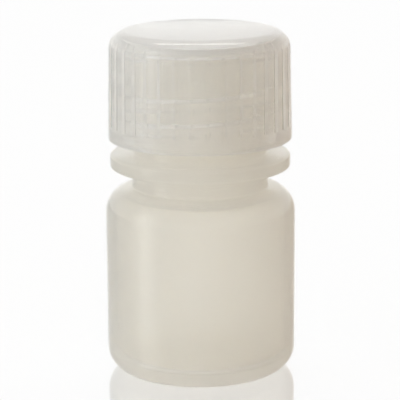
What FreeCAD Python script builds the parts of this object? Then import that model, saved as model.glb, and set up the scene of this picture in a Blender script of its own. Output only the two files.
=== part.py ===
import FreeCAD, Part
import math
import os

import Sketcher

# A small plastic reagent bottle with a ribbed screw cap and a sealing liner.
# Millimetres, +Z up. The bottle stands on Z = 0 and every piece is centred on the Z axis.

# Driving sizes: name, value, meaning.
SIZES = [
    ("body_diameter", 25.0, "outside of the straight body wall"),
    ("wall_thickness", 1.3, "body and shoulder wall"),
    ("base_thickness", 1.5, "plate under the cavity, over the push-up"),
    ("heel_radius", 3.0, "round between the body wall and the base"),
    ("contact_width", 1.2, "width of the ring that the bottle stands on"),
    ("pushup_depth", 0.5, "rise of the base inside the contact ring"),
    ("inner_bevel", 1.2, "bevel inside the shoulder and the heel"),
    ("shoulder_height", 24.75, "top of the shoulder above the table"),
    ("neck_diameter", 17.9, "bare neck between the shoulder and the bead"),
    ("neck_flare", 0.25, "flare of the neck into the shoulder"),
    ("neck_gap", 2.6, "bare neck from the shoulder to the bead"),
    ("bead_diameter", 23.7, "ring on the neck under the cap"),
    ("bead_thickness", 1.9, "height of that ring"),
    ("bead_edge", 0.4, "broken edge above and below the ring"),
    ("finish_diameter", 17.5, "neck inside the cap, at the root of the thread"),
    ("finish_height", 14.05, "neck from the top of the bead to the rim"),
    ("mouth_diameter", 12.5, "bore through the neck"),
    ("rim_edge", 0.3, "broken edge inside and outside the rim"),
    ("throat_edge", 0.8, "bevel where the bore opens into the body"),
    ("thread_room", 1.35, "gap for the thread between the neck and the cap's bore"),
    ("skirt_thickness", 1.95, "cap wall at the plain band"),
    ("cap_height", 14.3, "whole cap"),
    ("plate_thickness", 1.2, "top plate of the cap"),
    ("cap_edge", 2.35, "round between the cap's side and its flat top"),
    ("band_height", 2.0, "plain band under the ribs"),
    ("band_edge", 0.3, "broken edge under the band"),
    ("rib_inset", 0.05, "how far the rib tips stand inside the band"),
    ("draft_angle", 1.1, "degrees that the ribbed side leans in"),
    ("flute_count", 36, "grooves between the ribs"),
    ("flute_width", 0.7, "width of a groove at its mouth"),
    ("flute_floor", 0.4, "width of a groove at its floor"),
    ("flute_depth", 0.35, "depth of a groove at the top of the ribbed side"),
    ("lead_in", 0.4, "bevel inside the mouth of the cap"),
    ("liner_thickness", 0.9, "sealing disc"),
    ("liner_clearance", 0.2, "gap round the sealing disc in the cap"),
    ("liner_catch", 0.5, "reach of the bead in the cap that holds the disc"),
]

# Radii.
BODY_R = "(dims.body_diameter / 2)"
CAVITY_R = f"({BODY_R} - dims.wall_thickness)"
HEEL_R = f"({BODY_R} - dims.heel_radius)"
CONTACT_R = f"({HEEL_R} - dims.contact_width)"
NECK_R = "(dims.neck_diameter / 2)"
SHOULDER_R = f"({NECK_R} + dims.neck_flare)"
BEAD_R = "(dims.bead_diameter / 2)"
FINISH_R = "(dims.finish_diameter / 2)"
MOUTH_R = "(dims.mouth_diameter / 2)"
BORE_R = f"({FINISH_R} + dims.thread_room)"
BAND_R = f"({BORE_R} + dims.skirt_thickness)"
RIB_R = f"({BAND_R} - dims.rib_inset)"
LINER_R = f"({BORE_R} - dims.liner_clearance)"

# The shoulder is a quarter round that fills the step from the body wall to the flare of the neck.
SHOULDER_ROUND = f"({BODY_R} - {SHOULDER_R})"

# Heights, from the table up.
FLOOR_Z = "(dims.pushup_depth + dims.base_thickness)"
CEILING_Z = "(dims.shoulder_height - dims.wall_thickness)"
BEAD_Z = "(dims.shoulder_height + dims.neck_gap)"
BEAD_TOP_Z = f"({BEAD_Z} + dims.bead_thickness)"
RIM_Z = f"({BEAD_TOP_Z} + dims.finish_height)"
SEAT_Z = f"({RIM_Z} + dims.liner_thickness)"
CAP_TOP_Z = f"({SEAT_Z} + dims.plate_thickness)"
CAP_Z = f"({CAP_TOP_Z} - dims.cap_height)"
BAND_TOP_Z = f"({CAP_Z} + dims.band_height)"

# The cap's edge round is tangent to the leaning side and to the flat top.
EDGE_Z = f"({CAP_TOP_Z} - dims.cap_edge)"
LEAN = "dims.draft_angle * 1 deg"
EDGE_R = f"({RIB_R} - ({EDGE_Z} - {BAND_TOP_Z}) * tan({LEAN}) - dims.cap_edge / cos({LEAN}))"
SIDE_TOP_R = f"({EDGE_R} + dims.cap_edge * cos({LEAN}))"
SIDE_TOP_Z = f"({EDGE_Z} + dims.cap_edge * sin({LEAN}))"

# The grooves' floor, upright under the top of the leaning side.
FLUTE_R = f"({SIDE_TOP_R} - dims.flute_depth)"

# Numbers that a sketch gives to its origin, its axes and the points of an edge.
V_AXIS, H_AXIS = range(-2, 0)
ORIGIN = H_AXIS
START, END, CENTRE = range(1, 4)


def make_sheet(doc):
    """Put the driving sizes into the sheet that every feature is bound to."""
    sheet = doc.addObject("Spreadsheet::Sheet", "dims")
    for row, (alias, value, meaning) in enumerate(SIZES, start=1):
        sheet.set(f"A{row}", meaning)
        sheet.set(f"B{row}", str(value))
        sheet.setAlias(f"B{row}", alias)
    doc.recompute()
    return sheet


def new_body(doc, label):
    body = doc.addObject("PartDesign::Body", label)
    body.Label = label
    body.Placement = FreeCAD.Placement()
    return body


def new_sketch(body, name, plane):
    """Attach a sketch to one of the body's own origin planes."""
    sketch = body.newObject("Sketcher::SketchObject", name)
    support = next(f for f in body.Origin.OriginFeatures if f.Role == plane)
    sketch.AttachmentSupport = (support, [""])
    sketch.MapMode = "FlatFace"
    return sketch


def bind(sketch, kind, place, name, expression):
    """Add a dimension to the sketch and tie it to the sheet."""
    value = float(sketch.evalExpression(expression))
    index = sketch.addConstraint(Sketcher.Constraint(kind, *place, value))
    sketch.renameConstraint(index, name)
    sketch.setExpression(f"Constraints.{name}", expression)


def place_point(sketch, edge, end, name, across, along):
    """Fix one end of an edge at its two distances from the origin, on an axis where one of them is 0."""
    for kind, axis, value in (("DistanceX", V_AXIS, across), ("DistanceY", H_AXIS, along)):
        if value == "0":
            sketch.addConstraint(Sketcher.Constraint("PointOnObject", edge, end, axis))
        else:
            bind(sketch, kind, (ORIGIN, START, edge, end), f"{name}_{kind}", value)


def add_line(sketch, begin, end):
    """Add a straight edge and say which of its points come first and last."""
    line = Part.LineSegment(FreeCAD.Vector(*begin), FreeCAD.Vector(*end))
    return sketch.addGeometry(line), START, END


def add_arc(sketch, begin, end, across):
    """Add the shorter arc between two points, with its centre that far across the sketch."""
    reach = (begin[0] - across) ** 2 - (end[0] - across) ** 2
    along = (reach + begin[1] ** 2 - end[1] ** 2) / (2 * (begin[1] - end[1]))
    first, last = (math.atan2(p[1] - along, p[0] - across) for p in (begin, end))
    radius = math.hypot(begin[0] - across, begin[1] - along)
    circle = Part.Circle(FreeCAD.Vector(across, along), FreeCAD.Vector(0, 0, 1), radius)
    if (last - first) % math.tau < math.pi:
        return sketch.addGeometry(Part.ArcOfCircle(circle, first, last)), START, END
    return sketch.addGeometry(Part.ArcOfCircle(circle, last, first)), END, START


def draw_section(body, name, corners, plane="XZ_Plane"):
    """Draw a closed section from its corners, each given across and along the sketch.

    On the upright plane that is a radius and a height. A third value makes the edge that arrives at the
    corner an arc, and is how far across its centre lies.
    """
    sketch = new_sketch(body, name, plane)
    points = [tuple(float(sketch.evalExpression(v)) for v in corner[:2]) for corner in corners]
    edges = []
    for index, (_, _, *arc) in enumerate(corners):
        begin, end = points[index - 1], points[index]
        if arc:
            edges.append(add_arc(sketch, begin, end, float(sketch.evalExpression(arc[0]))))
        else:
            edges.append(add_line(sketch, begin, end))
    for index, (across, along, *arc) in enumerate(corners):
        edge, _, last = edges[index]
        following, first, _ = edges[(index + 1) % len(edges)]
        sketch.addConstraint(Sketcher.Constraint("Coincident", edge, last, following, first))
        place_point(sketch, edge, last, f"corner{index}", across, along)
        if arc:
            bind(sketch, "DistanceX", (ORIGIN, START, edge, CENTRE), f"centre{index}", arc[0])
    return sketch


def turn(body, name, sketch):
    """Turn a half-section round the Z axis."""
    solid = body.newObject("PartDesign::Revolution", name)
    solid.Profile = sketch
    solid.ReferenceAxis = (sketch, ["V_Axis"])
    solid.Angle = 360
    return solid


def make_bottle(doc):
    """Body, shoulder, neck, bead and finish in one hollow moulding."""
    body = new_body(doc, "bottle")
    outside = [
        ("0", "dims.pushup_depth"),
        (f"{CONTACT_R} - dims.pushup_depth", "dims.pushup_depth"),
        (CONTACT_R, "0"),
        (HEEL_R, "0"),
        (BODY_R, "dims.heel_radius", HEEL_R),
        (BODY_R, f"dims.shoulder_height - {SHOULDER_ROUND}"),
        (SHOULDER_R, "dims.shoulder_height", SHOULDER_R),
        (NECK_R, "dims.shoulder_height + dims.neck_flare"),
        (NECK_R, BEAD_Z),
        (f"{BEAD_R} - dims.bead_edge", BEAD_Z),
        (BEAD_R, f"{BEAD_Z} + dims.bead_edge"),
        (BEAD_R, f"{BEAD_TOP_Z} - dims.bead_edge"),
        (f"{BEAD_R} - dims.bead_edge", BEAD_TOP_Z),
        (FINISH_R, BEAD_TOP_Z),
    ]
    rim = [
        (FINISH_R, f"{RIM_Z} - dims.rim_edge"),
        (f"{FINISH_R} - dims.rim_edge", RIM_Z),
        (f"{MOUTH_R} + dims.rim_edge", RIM_Z),
        (MOUTH_R, f"{RIM_Z} - dims.rim_edge"),
    ]
    inside = [
        (MOUTH_R, f"{CEILING_Z} + dims.throat_edge"),
        (f"{MOUTH_R} + dims.throat_edge", CEILING_Z),
        (f"{CAVITY_R} - dims.inner_bevel", CEILING_Z),
        (CAVITY_R, f"{CEILING_Z} - dims.inner_bevel"),
        (CAVITY_R, f"{FLOOR_Z} + dims.inner_bevel"),
        (f"{CAVITY_R} - dims.inner_bevel", FLOOR_Z),
        ("0", FLOOR_Z),
    ]
    turn(body, "BottleWall", draw_section(body, "BottleSection", outside + rim + inside))
    return body


def cut_flutes(body):
    """Cut the grooves between the grip ribs, upright from the band until they run out on the round.

    They start half a pitch round, so that a rib faces the front.
    """
    corners = [
        (FLUTE_R, "-dims.flute_floor / 2"),
        (BAND_R, "-dims.flute_width / 2"),
        (BAND_R, "dims.flute_width / 2"),
        (FLUTE_R, "dims.flute_floor / 2"),
    ]
    sketch = draw_section(body, "FluteSection", corners, "XY_Plane")
    sketch.setExpression("AttachmentOffset.Base.z", BAND_TOP_Z)
    sketch.setExpression("AttachmentOffset.Rotation.Angle", "180 deg / dims.flute_count")

    flute = body.newObject("PartDesign::Pocket", "Flute")
    flute.Profile = sketch
    flute.Reversed = True
    flute.setExpression("Length", f"{CAP_TOP_Z} - {BAND_TOP_Z}")

    flutes = body.newObject("PartDesign::PolarPattern", "Flutes")
    flutes.Originals = [flute]
    flutes.Axis = (sketch, ["N_Axis"])
    flutes.Angle = 360
    flutes.setExpression("Occurrences", "dims.flute_count")
    body.Tip = flutes


def make_cap(doc):
    """Screw cap: plain band, ribbed leaning side, rounded edge, flat top and a catch for the liner."""
    body = new_body(doc, "cap")
    outside = [
        (f"{BORE_R} + dims.lead_in", CAP_Z),
        (f"{BAND_R} - dims.band_edge", CAP_Z),
        (BAND_R, f"{CAP_Z} + dims.band_edge"),
        (BAND_R, BAND_TOP_Z),
        (RIB_R, BAND_TOP_Z),
        (SIDE_TOP_R, SIDE_TOP_Z),
        (EDGE_R, CAP_TOP_Z, EDGE_R),
        ("0", CAP_TOP_Z),
    ]
    inside = [
        ("0", SEAT_Z),
        (BORE_R, SEAT_Z),
        (BORE_R, RIM_Z),
        (f"{BORE_R} - dims.liner_catch", f"{RIM_Z} - dims.liner_catch"),
        (BORE_R, f"{RIM_Z} - 2 * dims.liner_catch"),
        (BORE_R, f"{CAP_Z} + dims.lead_in"),
    ]
    turn(body, "CapWall", draw_section(body, "CapSection", outside + inside))
    cut_flutes(body)
    return body


def make_liner(doc):
    """Flat sealing disc between the rim and the cap's top plate."""
    body = new_body(doc, "cap_liner")
    section = [
        ("0", RIM_Z),
        (LINER_R, RIM_Z),
        (LINER_R, SEAT_Z),
        ("0", SEAT_Z),
    ]
    turn(body, "LinerDisc", draw_section(body, "LinerSection", section))
    return body


def check(doc, pieces):
    """Stop if a feature failed, a solid is unsound or the grooves cut nothing."""
    for item in doc.Objects:
        if "Invalid" in item.State or "Error" in item.State:
            raise RuntimeError(f"{item.Name} failed: {item.State}")
    for piece in pieces:
        shape = piece.Shape
        if shape.isNull() or not shape.isValid() or len(shape.Solids) != 1:
            raise RuntimeError(f"{piece.Label} isn't one sound solid")
    if doc.Flutes.Shape.Volume >= doc.CapWall.Shape.Volume:
        raise RuntimeError("the grooves cut nothing from the cap")


def main():
    doc = FreeCAD.newDocument("reagent_bottle")
    make_sheet(doc)
    pieces = [make_bottle(doc), make_cap(doc), make_liner(doc)]
    doc.recompute()
    check(doc, pieces)
    os.makedirs("parts", exist_ok=True)
    for piece in pieces:
        piece.Shape.exportStep(os.path.join("parts", f"{piece.Label}.step"))


main()
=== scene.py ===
import math

import bpy
from mathutils import Matrix, Vector


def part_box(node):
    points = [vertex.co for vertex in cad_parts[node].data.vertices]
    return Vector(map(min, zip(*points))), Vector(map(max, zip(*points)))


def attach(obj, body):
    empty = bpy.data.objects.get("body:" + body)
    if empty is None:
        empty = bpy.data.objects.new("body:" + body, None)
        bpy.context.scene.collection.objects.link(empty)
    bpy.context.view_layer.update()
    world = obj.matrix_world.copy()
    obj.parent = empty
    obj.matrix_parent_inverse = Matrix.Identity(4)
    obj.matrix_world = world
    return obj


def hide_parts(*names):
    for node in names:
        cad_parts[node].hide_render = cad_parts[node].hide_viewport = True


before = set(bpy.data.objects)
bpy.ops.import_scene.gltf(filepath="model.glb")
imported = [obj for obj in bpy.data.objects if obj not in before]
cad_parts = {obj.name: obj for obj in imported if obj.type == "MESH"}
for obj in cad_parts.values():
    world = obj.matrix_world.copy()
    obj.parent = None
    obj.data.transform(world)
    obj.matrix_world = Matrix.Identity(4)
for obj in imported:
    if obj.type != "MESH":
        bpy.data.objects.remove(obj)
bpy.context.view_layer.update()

# A small milky reagent bottle with a ribbed screw cap. Metres, +Z up, the bottle stands on Z = 0.

MM = 0.001

# Sizes that come from the frame.
_, BOTTLE_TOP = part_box("bottle")
CAP_LOW, CAP_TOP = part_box("cap")
LINER_LOW, LINER_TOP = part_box("cap_liner")
BODY_R, RIM_Z = BOTTLE_TOP.x, BOTTLE_TOP.z
BAND_R, CAP_Z, TOP_Z = CAP_TOP.x, CAP_LOW.z, CAP_TOP.z
LINER_R, SEAT_Z = LINER_TOP.x, LINER_TOP.z

# Bottle.
WALL = 1.3 * MM
BASE = 1.5 * MM
HEEL = 3.0 * MM
CONTACT = 1.2 * MM
PUSHUP = 0.5 * MM
SHOULDER_Z = 24.75 * MM
SHOULDER_ROUND = 3.3 * MM
NECK_R = 8.95 * MM
NECK_FILLET = 0.25 * MM
BEAD_R = 11.85 * MM
BEAD_Z = 27.35 * MM
BEAD_TOP_Z = 29.25 * MM
BEAD_ROUND = 0.45 * MM
FINISH_R = 8.75 * MM
MOUTH_R = 6.25 * MM
RIM_ROUND = 0.35 * MM
THROAT_ROUND = 0.8 * MM
EDGE_BREAK = 0.2 * MM

# Cap. The edge's round meets the flat top in a slight crease.
BORE_R = 10.1 * MM
BAND_HEIGHT = 2.0 * MM
BAND_ROUND = 0.3 * MM
LEDGE_ROUND = 0.03 * MM
RIB_INSET = 0.05 * MM
CAP_ROUND = 2.35 * MM
CAP_FLAT_R = 9.65 * MM
CAP_CREASE = 0.31 * MM
DRAFT = math.radians(1.1)
LEAD_IN = 0.4 * MM
CATCH = 0.5 * MM

# Grooves between the cap's ribs. Their floor stands upright under the top of the leaning side.
FLUTES = 36
FLUTE_MOUTH = 0.7 * MM
FLUTE_FLOOR = 0.4 * MM
FLUTE_DEPTH = 0.35 * MM
RIB_ROUND = 0.25 * MM
SIDE_HEIGHT = TOP_Z - CAP_Z - BAND_HEIGHT - CAP_ROUND
FLUTE_R = BAND_R - RIB_INSET - SIDE_HEIGHT * math.tan(DRAFT) - FLUTE_DEPTH

# Screw thread, right-handed. The neck's ridge and the cap's ridge share the pitch, half a pitch apart.
PITCH = 3.175 * MM
NECK_RIDGE = 1.0 * MM
CAP_RIDGE = 0.8 * MM
RIDGE_CREST = 0.3 * MM
RIDGE_FLANK = 1.0 * MM
THREAD_TURNS = 2.6
THREAD_FADE = math.radians(25)
NECK_THREAD_Z = 33.2 * MM

# Liner.
LINER_DENT = 0.05 * MM

# Mesh density. The cap has columns at these distances from the middle of each groove.
ARC_STEP = math.radians(9)
THREAD_STEP = 0.14 * MM
BOTTLE_COLUMNS = 180
FLUTE_COLUMNS = 0.2 * MM, 0.28 * MM, 0.34 * MM, 0.42 * MM, 0.7 * MM
SHARP = math.radians(38)

# Materials.
WHITE = (1, 1, 1, 1)
NOISE_DETAIL = 3.0
NOISE_SPREAD = 0.3, 0.7
CLOUD_SIZE = 9 * MM
SMEAR_SIZE = 5 * MM
GRAIN_SIZE = 0.5 * MM
GRAIN_HEIGHT = 0.004 * MM
BOTTLE_TONES = (0.988, 0.973, 0.923), (0.983, 0.968, 0.918)
BOTTLE_GLOSS = 0.16, 0.21
BOTTLE_MILK = 950.0
CAP_TONES = (0.998, 0.995, 0.982), (0.993, 0.99, 0.977)
CAP_GLOSS = 0.13, 0.17
CAP_MILK = 700.0
FORWARD = 0.8
PLASTIC_INDEX = 1.4
PLASTIC_CLEAR = 0.95
FOAM_CELL = 0.4 * MM
FOAM_PIT = 0.03 * MM
FOAM_TONES = (0.82, 0.82, 0.8), (0.9, 0.9, 0.88)
FOAM_GLOSS = 0.6, 0.8

# Table: how white it glows for other rays and for the camera, and how it mirrors at a slant.
FLOOR = 3.0
FLOOR_COLOUR = (0.9, 0.9, 0.9, 1)
FLOOR_GLOW = 0.32
FLOOR_SEEN = 0.85
FLOOR_GLOSS = 1.6
FLOOR_POLISH = 0.03

# Studio: colours from left to right, and strengths in front of the bottle and behind it.
SKY_STOPS = [
    (0.2, (0.14, 0.16, 0.17, 1)),
    (0.45, (0.97, 0.985, 0.98, 1)),
    (0.55, (1.0, 0.985, 0.955, 1)),
    (0.76, (0.18, 0.095, 0.025, 1)),
]
BACKDROP_WAY = (0.0, 0.9, -0.4)
BACKDROP_FALL = -0.6, 0.5
BACKDROP_STRENGTH = 0.85, 1.36

# White backdrop that the camera and first mirror images see. The images see it dimmer high up.
FIRST_MIRROR = 2.5
BACKDROP_EDGE = 0.34, 0.44
BACKDROP_TOP = 0.6

# Lamps.
KEY_PLACE = (-0.3, -0.118, 0.12)
KEY_SIZE = 0.13, 0.3
KEY_POWER = 0.36
TOP_PLACE = (0, 0.12, 0.38)
TOP_SIZE = 0.3, 0.08
TOP_POWER = 0.5
LIGHT_BOUNCES = 128

# Camera, from the photographed outline.
SENSOR = 36.0
IMAGE_PIXELS = 400
FOCAL_PIXELS = 1890.6
CAMERA_PLACE = (-0.0000555, -0.2432, 0.0808)
CAMERA_PITCH = 13.44
CAMERA_ROLL = 0.368


def section(corners):
    """Points along a section. A corner is a radius, a height and the radius of its round, or 0."""
    points = []
    for index, (radius, height, fillet) in enumerate(corners):
        here = Vector((radius, height))
        if not fillet:
            points.append(here)
            continue
        back = (Vector(corners[index - 1][:2]) - here).normalized()
        ahead = (Vector(corners[index + 1][:2]) - here).normalized()
        half = back.angle(ahead) / 2
        centre = here + (back + ahead).normalized() * fillet / math.sin(half)
        spoke = here + back * fillet / math.tan(half) - centre
        sweep = math.copysign(math.pi - 2 * half, ahead.cross(back))
        steps = max(2, math.ceil(abs(sweep) / ARC_STEP))
        points += [centre + Matrix.Rotation(sweep * k / steps, 2) @ spoke for k in range(steps + 1)]
    return points


def divided(points, step):
    """The same points with more between them, no further apart than the step."""
    finer = [points[0]]
    for begin, end in zip(points, points[1:]):
        pieces = max(1, math.ceil((end - begin).length / step))
        finer += [begin.lerp(end, k / pieces) for k in range(1, pieces + 1)]
    return finer


def turned_mesh(name, stretches, angles):
    """Turn a section, from axis to axis, into one closed mesh.

    Each stretch is a list of section points and a relief, which changes a point's radius by its angle.
    """
    rings = []
    for points, relief in stretches:
        for radius, height in points:
            rings.append([(relief(radius, height, a) if relief else radius, height, a) for a in angles])
    vertices = [(0.0, 0.0, rings[0][0][1])]
    for ring in rings[1:-1]:
        vertices += [(r * math.cos(a), r * math.sin(a), z) for r, z, a in ring]
    vertices.append((0.0, 0.0, rings[-1][0][1]))

    count, last = len(angles), len(vertices) - 1
    faces = []
    for column in range(count):
        beside = (column + 1) % count
        faces.append((0, 1 + beside, 1 + column))
        for row in range(len(rings) - 3):
            low, high = 1 + row * count, 1 + (row + 1) * count
            faces.append((low + column, low + beside, high + beside, high + column))
        faces.append((last - count + column, last - count + beside, last))

    mesh = bpy.data.meshes.new(name)
    mesh.from_pydata(vertices, [], faces)
    mesh.validate()
    mesh.shade_smooth()
    mesh.set_sharp_from_angle(angle=SHARP)
    piece = bpy.data.objects.new(name, mesh)
    bpy.context.scene.collection.objects.link(piece)
    return piece


def even_angles():
    """Angles of the columns of a piece that is plainly round."""
    return [math.tau * k / BOTTLE_COLUMNS for k in range(BOTTLE_COLUMNS)]


def groove_angles():
    """Angles of the cap's columns, close together at the grooves, and one on the middle of each rib."""
    pitch = math.tau / FLUTES
    half = [distance / BAND_R for distance in FLUTE_COLUMNS]
    angles = []
    for k in range(FLUTES):
        middle = (k + 0.5) * pitch
        angles += [middle - a for a in reversed(half)] + [middle] + [middle + a for a in half]
        angles.append((k + 1) * pitch)
    return angles


def smooth_step(share):
    """Ease a share from 0 to 1, flat at both ends."""
    share = min(1.0, max(0.0, share))
    return share * share * (3 - 2 * share)


def ridge(height, angle, start):
    """How much of a thread's full height stands at a place: 1 on the crest, 0 beside the ridge."""
    turn = round((height - start) / PITCH - angle / math.tau)
    along = turn * math.tau + angle
    off = abs(height - start - PITCH * along / math.tau)
    flank = 1 - smooth_step((off - RIDGE_CREST / 2) / RIDGE_FLANK)
    from_end = min(along, THREAD_TURNS * math.tau - along)
    return flank * smooth_step(from_end / THREAD_FADE)


def neck_thread(radius, height, angle):
    """Raise the thread on the neck."""
    return radius + NECK_RIDGE * ridge(height, angle, NECK_THREAD_Z)


def cap_thread(radius, height, angle):
    """Raise the thread inside the cap."""
    return radius - CAP_RIDGE * ridge(height, angle, NECK_THREAD_Z - PITCH / 2)


def soft_min(first, second, blend):
    """The smaller of two lengths, with the step between them rounded."""
    overlap = max(0.0, blend - abs(first - second)) / blend
    return min(first, second) - overlap * overlap * blend / 4


def flute(radius, height, angle):
    """Cut the grip's grooves into the cap's side: upright floors, leaning walls and rounded rib edges."""
    pitch = math.tau / FLUTES
    offset = radius * abs((angle % pitch) - pitch / 2)
    climb = (offset - FLUTE_FLOOR / 2) / ((FLUTE_MOUTH - FLUTE_FLOOR) / 2)
    groove = FLUTE_R + max(0.0, climb) * (BAND_R - FLUTE_R)
    return soft_min(radius, groove, RIB_ROUND)


def show(name, stretches, angles, body, node):
    """Turn a piece, let it ride on its body and stand for its node."""
    piece = turned_mesh(name, stretches, angles)
    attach(piece, body)
    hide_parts(node)
    return piece


def make_bottle():
    """Body, shoulder, neck, bead and threaded finish in one hollow moulding."""
    contact_r = BODY_R - HEEL - CONTACT
    cavity_r = BODY_R - WALL
    floor_z = PUSHUP + BASE
    ceiling_z = SHOULDER_Z - WALL
    finish_z = BEAD_TOP_Z + 2 * EDGE_BREAK
    finish_top_z = RIM_Z - 2 * RIM_ROUND
    outside = section([
        (0, PUSHUP, 0),
        (contact_r - PUSHUP, PUSHUP, EDGE_BREAK),
        (contact_r, 0, EDGE_BREAK),
        (BODY_R, 0, HEEL),
        (BODY_R, SHOULDER_Z, SHOULDER_ROUND),
        (NECK_R, SHOULDER_Z, NECK_FILLET),
        (NECK_R, BEAD_Z, EDGE_BREAK),
        (BEAD_R, BEAD_Z, BEAD_ROUND),
        (BEAD_R, BEAD_TOP_Z, BEAD_ROUND),
        (FINISH_R, BEAD_TOP_Z, EDGE_BREAK),
        (FINISH_R, finish_z, 0),
    ])
    finish = section([
        (FINISH_R, finish_z, 0),
        (FINISH_R, finish_top_z, 0),
    ])
    inside = section([
        (FINISH_R, finish_top_z, 0),
        (FINISH_R, RIM_Z, RIM_ROUND),
        (MOUTH_R, RIM_Z, RIM_ROUND),
        (MOUTH_R, ceiling_z, THROAT_ROUND),
        (cavity_r, ceiling_z, SHOULDER_ROUND - WALL),
        (cavity_r, floor_z, HEEL - WALL),
        (0, floor_z, 0),
    ])
    stretches = [
        (outside, None),
        (divided(finish, THREAD_STEP)[1:], neck_thread),
        (inside[1:], None),
    ]
    return show("bottle_moulding", stretches, even_angles(), "bottle", "bottle")


def make_cap():
    """Screw cap: seat and catch for the liner, thread, plain band, ribs and rounded edge."""
    rib_r = BAND_R - RIB_INSET
    band_z = CAP_Z + BAND_HEIGHT
    catch_z = RIM_Z - 2 * CATCH
    inside = section([
        (0, SEAT_Z, 0),
        (BORE_R, SEAT_Z, EDGE_BREAK),
        (BORE_R, RIM_Z, 0),
        (BORE_R - CATCH, RIM_Z - CATCH, EDGE_BREAK),
        (BORE_R, catch_z, 0),
    ])
    bore = section([
        (BORE_R, catch_z, 0),
        (BORE_R, CAP_Z + LEAD_IN, 0),
    ])
    band = section([
        (BORE_R, CAP_Z + LEAD_IN, 0),
        (BORE_R + LEAD_IN, CAP_Z, 0),
        (BAND_R, CAP_Z, BAND_ROUND),
        (BAND_R, band_z, LEDGE_ROUND),
        (rib_r, band_z, 0),
    ])
    side = section([
        (rib_r, band_z, 0),
        (rib_r - (TOP_Z - band_z) * math.tan(DRAFT), TOP_Z - CAP_CREASE, CAP_ROUND),
        (CAP_FLAT_R, TOP_Z, 0),
        (0, TOP_Z, 0),
    ])
    stretches = [
        (inside, None),
        (divided(bore, THREAD_STEP)[1:], cap_thread),
        (band[1:-1], None),
        (side, flute),
    ]
    return show("cap_moulding", stretches, groove_angles(), "cap", "cap")


def make_liner():
    """Foam disc with soft edges and the ring that the bottle's rim has pressed into it."""
    disc = section([
        (0, LINER_LOW.z, 0),
        (MOUTH_R, LINER_LOW.z, 0),
        (MOUTH_R + LINER_DENT, LINER_LOW.z + LINER_DENT, 0),
        (FINISH_R - LINER_DENT, LINER_LOW.z + LINER_DENT, 0),
        (FINISH_R, LINER_LOW.z, 0),
        (LINER_R, LINER_LOW.z, EDGE_BREAK),
        (LINER_R, SEAT_Z - LINER_DENT, EDGE_BREAK),
        (0, SEAT_Z - LINER_DENT, 0),
    ])
    return show("liner_disc", [(disc, None)], even_angles(), "liner", "cap_liner")


def mapped(tree, value, source, target, interpolation="LINEAR"):
    """Carry a value over from one range of numbers to another."""
    node = tree.nodes.new("ShaderNodeMapRange")
    node.interpolation_type = interpolation
    for socket, number in zip(("From Min", "From Max", "To Min", "To Max"), (*source, *target)):
        node.inputs[socket].default_value = number
    tree.links.new(value, node.inputs["Value"])
    return node.outputs["Result"]


def math_node(tree, operation, value):
    """A step of arithmetic on a value. Its second number is still to be set or linked."""
    node = tree.nodes.new("ShaderNodeMath")
    node.operation = operation
    tree.links.new(value, node.inputs[0])
    return node


def mixed(tree, share, first, second):
    """Two shaders in one, with that share of the second."""
    node = tree.nodes.new("ShaderNodeMixShader")
    for output, socket in zip((share, first, second), node.inputs):
        tree.links.new(output, socket)
    return node.outputs["Shader"]


def new_material(name):
    """A material with a bare Principled shader, its nodes and the coordinates of the object."""
    material = bpy.data.materials.new(name)
    material.use_nodes = True
    nodes = material.node_tree.nodes
    place = nodes.new("ShaderNodeTexCoord").outputs["Object"]
    return material, material.node_tree, nodes["Principled BSDF"], place


def noise(tree, place, size):
    """Noise whose largest features are about that size."""
    texture = tree.nodes.new("ShaderNodeTexNoise")
    texture.inputs["Scale"].default_value = 1 / size
    texture.inputs["Detail"].default_value = NOISE_DETAIL
    tree.links.new(place, texture.inputs["Vector"])
    return texture.outputs["Fac"]


def tinted(tree, share, first, second):
    """Turn a noise into a colour between two tones."""
    mix = tree.nodes.new("ShaderNodeMix")
    mix.data_type = "RGBA"
    mix.inputs["A"].default_value = (*first, 1)
    mix.inputs["B"].default_value = (*second, 1)
    tree.links.new(mapped(tree, share, NOISE_SPREAD, (0, 1)), mix.inputs["Factor"])
    return mix.outputs["Result"]


def bumped(tree, share, height):
    """Turn a noise into a fine relief of that height."""
    bump = tree.nodes.new("ShaderNodeBump")
    bump.inputs["Distance"].default_value = height
    tree.links.new(share, bump.inputs["Height"])
    return bump.outputs["Normal"]


def milky_plastic(name, tones, gloss, milk):
    """Natural moulded plastic: a glossy skin, and haze all through the wall that scatters the light."""
    material, tree, shader, place = new_material(name)
    clouds = noise(tree, place, CLOUD_SIZE)
    smears = noise(tree, place, SMEAR_SIZE)
    grain = noise(tree, place, GRAIN_SIZE)
    tree.links.new(tinted(tree, clouds, *tones), shader.inputs["Base Color"])
    tree.links.new(mapped(tree, smears, NOISE_SPREAD, gloss), shader.inputs["Roughness"])
    tree.links.new(bumped(tree, grain, GRAIN_HEIGHT), shader.inputs["Normal"])
    shader.inputs["IOR"].default_value = PLASTIC_INDEX
    shader.inputs["Transmission Weight"].default_value = PLASTIC_CLEAR
    haze = tree.nodes.new("ShaderNodeVolumeScatter")
    haze.inputs["Color"].default_value = WHITE
    haze.inputs["Density"].default_value = milk
    haze.inputs["Anisotropy"].default_value = FORWARD
    tree.links.new(haze.outputs["Volume"], tree.nodes["Material Output"].inputs["Volume"])
    return material


def foam(name):
    """White closed-cell foam: matt and finely pitted."""
    material, tree, shader, place = new_material(name)
    cells = noise(tree, place, FOAM_CELL)
    tree.links.new(tinted(tree, cells, *FOAM_TONES), shader.inputs["Base Color"])
    tree.links.new(mapped(tree, cells, NOISE_SPREAD, FOAM_GLOSS), shader.inputs["Roughness"])
    tree.links.new(bumped(tree, cells, FOAM_PIT), shader.inputs["Normal"])
    return material


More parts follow.
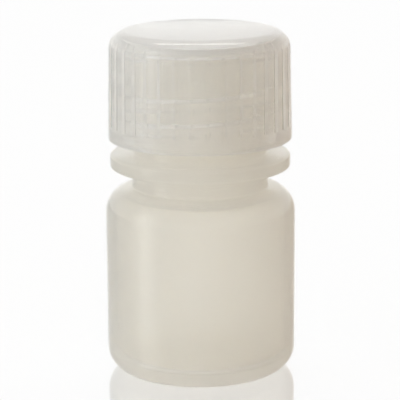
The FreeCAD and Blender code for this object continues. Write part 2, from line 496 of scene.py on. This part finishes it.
def white_table(name):
    """White table top that mirrors at a slant and is see-through from below."""
    material = bpy.data.materials.new(name)
    material.use_nodes = True
    tree = material.node_tree
    tree.nodes.clear()
    matt = tree.nodes.new("ShaderNodeBsdfDiffuse")
    matt.inputs["Color"].default_value = FLOOR_COLOUR
    white = tree.nodes.new("ShaderNodeEmission")
    mirror = tree.nodes.new("ShaderNodeBsdfGlossy")
    mirror.inputs["Color"].default_value = WHITE
    mirror.inputs["Roughness"].default_value = FLOOR_POLISH
    clear = tree.nodes.new("ShaderNodeBsdfTransparent")
    path = tree.nodes.new("ShaderNodeLightPath")
    slant = tree.nodes.new("ShaderNodeLayerWeight")
    side = tree.nodes.new("ShaderNodeNewGeometry")
    out = tree.nodes.new("ShaderNodeOutputMaterial")

    glow = mapped(tree, path.outputs["Is Camera Ray"], (0, 1), (FLOOR_GLOW, FLOOR_SEEN))
    backing = mixed(tree, glow, matt.outputs["BSDF"], white.outputs["Emission"])
    grazing = math_node(tree, "POWER", slant.outputs["Facing"])
    grazing.inputs[1].default_value = FLOOR_GLOSS
    surface = mixed(tree, grazing.outputs["Value"], backing, mirror.outputs["BSDF"])
    one_way = mixed(tree, side.outputs["Backfacing"], surface, clear.outputs["BSDF"])
    tree.links.new(one_way, out.inputs["Surface"])
    return material


def add_floor():
    """Square table top under the bottle."""
    corners = [(-FLOOR, -FLOOR, 0), (FLOOR, -FLOOR, 0), (FLOOR, FLOOR, 0), (-FLOOR, FLOOR, 0)]
    mesh = bpy.data.meshes.new("floor")
    mesh.from_pydata(corners, [], [(0, 1, 2, 3)])
    mesh.materials.append(white_table("white_table"))
    floor = bpy.data.objects.new("floor", mesh)
    bpy.context.scene.collection.objects.link(floor)


def soft_light(tree, direction, across):
    """Light of the studio: dark sides, the right one warm, and more from behind than from the front."""
    ramp = tree.nodes.new("ShaderNodeValToRGB")
    ramp.color_ramp.interpolation = "EASE"
    stops = ramp.color_ramp.elements
    while len(stops) < len(SKY_STOPS):
        stops.new(1)
    for stop, (place, colour) in zip(stops, SKY_STOPS):
        stop.position = place
        stop.color = colour
    tree.links.new(mapped(tree, across, (-1, 1), (0, 1)), ramp.inputs["Fac"])

    behind = tree.nodes.new("ShaderNodeVectorMath")
    behind.operation = "DOT_PRODUCT"
    behind.inputs[1].default_value = BACKDROP_WAY
    tree.links.new(direction, behind.inputs[0])
    strength = mapped(tree, behind.outputs["Value"], BACKDROP_FALL, BACKDROP_STRENGTH, "SMOOTHSTEP")

    light = tree.nodes["Background"]
    tree.links.new(ramp.outputs["Color"], light.inputs["Color"])
    tree.links.new(strength, light.inputs["Strength"])
    return light.outputs["Background"]


def white_backdrop(tree, camera, height):
    """Plain white for the camera. Mirror images see it dimmer above the backdrop's edge."""
    dimmer = mapped(tree, height, BACKDROP_EDGE, (1, BACKDROP_TOP), "SMOOTHSTEP")
    strength = math_node(tree, "MAXIMUM", camera)
    tree.links.new(dimmer, strength.inputs[1])
    white = tree.nodes.new("ShaderNodeBackground")
    white.inputs["Color"].default_value = WHITE
    tree.links.new(strength.outputs["Value"], white.inputs["Strength"])
    return white.outputs["Background"]


def add_world():
    """White backdrop for the camera and for first mirror images, and the studio's light for other rays."""
    world = bpy.data.worlds.new("studio")
    bpy.context.scene.world = world
    world.use_nodes = True
    tree = world.node_tree
    direction = tree.nodes.new("ShaderNodeTexCoord").outputs["Generated"]
    parts = tree.nodes.new("ShaderNodeSeparateXYZ")
    tree.links.new(direction, parts.inputs["Vector"])
    path = tree.nodes.new("ShaderNodeLightPath")
    camera = path.outputs["Is Camera Ray"]

    early = math_node(tree, "LESS_THAN", path.outputs["Ray Depth"])
    early.inputs[1].default_value = FIRST_MIRROR
    mirrored = math_node(tree, "MULTIPLY", path.outputs["Is Glossy Ray"])
    tree.links.new(early.outputs["Value"], mirrored.inputs[1])
    seen = math_node(tree, "MAXIMUM", camera)
    tree.links.new(mirrored.outputs["Value"], seen.inputs[1])

    light = soft_light(tree, direction, parts.outputs["X"])
    white = white_backdrop(tree, camera, parts.outputs["Z"])
    studio = mixed(tree, seen.outputs["Value"], light, white)
    tree.links.new(studio, tree.nodes["World Output"].inputs["Surface"])


def add_softbox(name, place, size, power):
    """Area lamp that looks at the middle of the bottle."""
    lamp = bpy.data.lights.new(name, "AREA")
    lamp.shape = "RECTANGLE"
    lamp.size, lamp.size_y = size
    lamp.energy = power
    light = bpy.data.objects.new(name, lamp)
    light.location = place
    way = Vector((0, 0, RIM_Z / 2)) - light.location
    light.rotation_euler = way.to_track_quat("-Z", "Y").to_euler()
    light.visible_camera = False
    bpy.context.scene.collection.objects.link(light)


def add_camera():
    """Camera at the place from which the photo was taken."""
    camera = bpy.data.cameras.new("camera")
    camera.sensor_width = SENSOR
    camera.lens = FOCAL_PIXELS * SENSOR / IMAGE_PIXELS
    camera.clip_start = MM
    view = bpy.data.objects.new("camera", camera)
    tilt = Matrix.Rotation(math.radians(90 - CAMERA_PITCH), 4, "X")
    roll = Matrix.Rotation(math.radians(-CAMERA_ROLL), 4, "Z")
    view.matrix_world = Matrix.Translation(CAMERA_PLACE) @ tilt @ roll
    bpy.context.scene.collection.objects.link(view)
    bpy.context.scene.camera = view


def keep_light():
    """Let light scatter as often as milky walls need, without the filter that darkens rough plastic."""
    cycles = bpy.context.scene.cycles
    cycles.blur_glossy = 0.0
    cycles.max_bounces = LIGHT_BOUNCES
    cycles.diffuse_bounces = LIGHT_BOUNCES
    cycles.glossy_bounces = LIGHT_BOUNCES
    cycles.transmission_bounces = LIGHT_BOUNCES
    cycles.volume_bounces = LIGHT_BOUNCES


bottle = make_bottle()
cap = make_cap()
liner = make_liner()
bottle.data.materials.append(milky_plastic("milky_bottle", BOTTLE_TONES, BOTTLE_GLOSS, BOTTLE_MILK))
cap.data.materials.append(milky_plastic("milky_cap", CAP_TONES, CAP_GLOSS, CAP_MILK))
liner.data.materials.append(foam("white_foam"))

add_floor()
add_world()
add_softbox("key_strip", KEY_PLACE, KEY_SIZE, KEY_POWER)
add_softbox("top_box", TOP_PLACE, TOP_SIZE, TOP_POWER)
add_camera()
keep_light()
bpy.context.scene.view_settings.view_transform = "Standard"
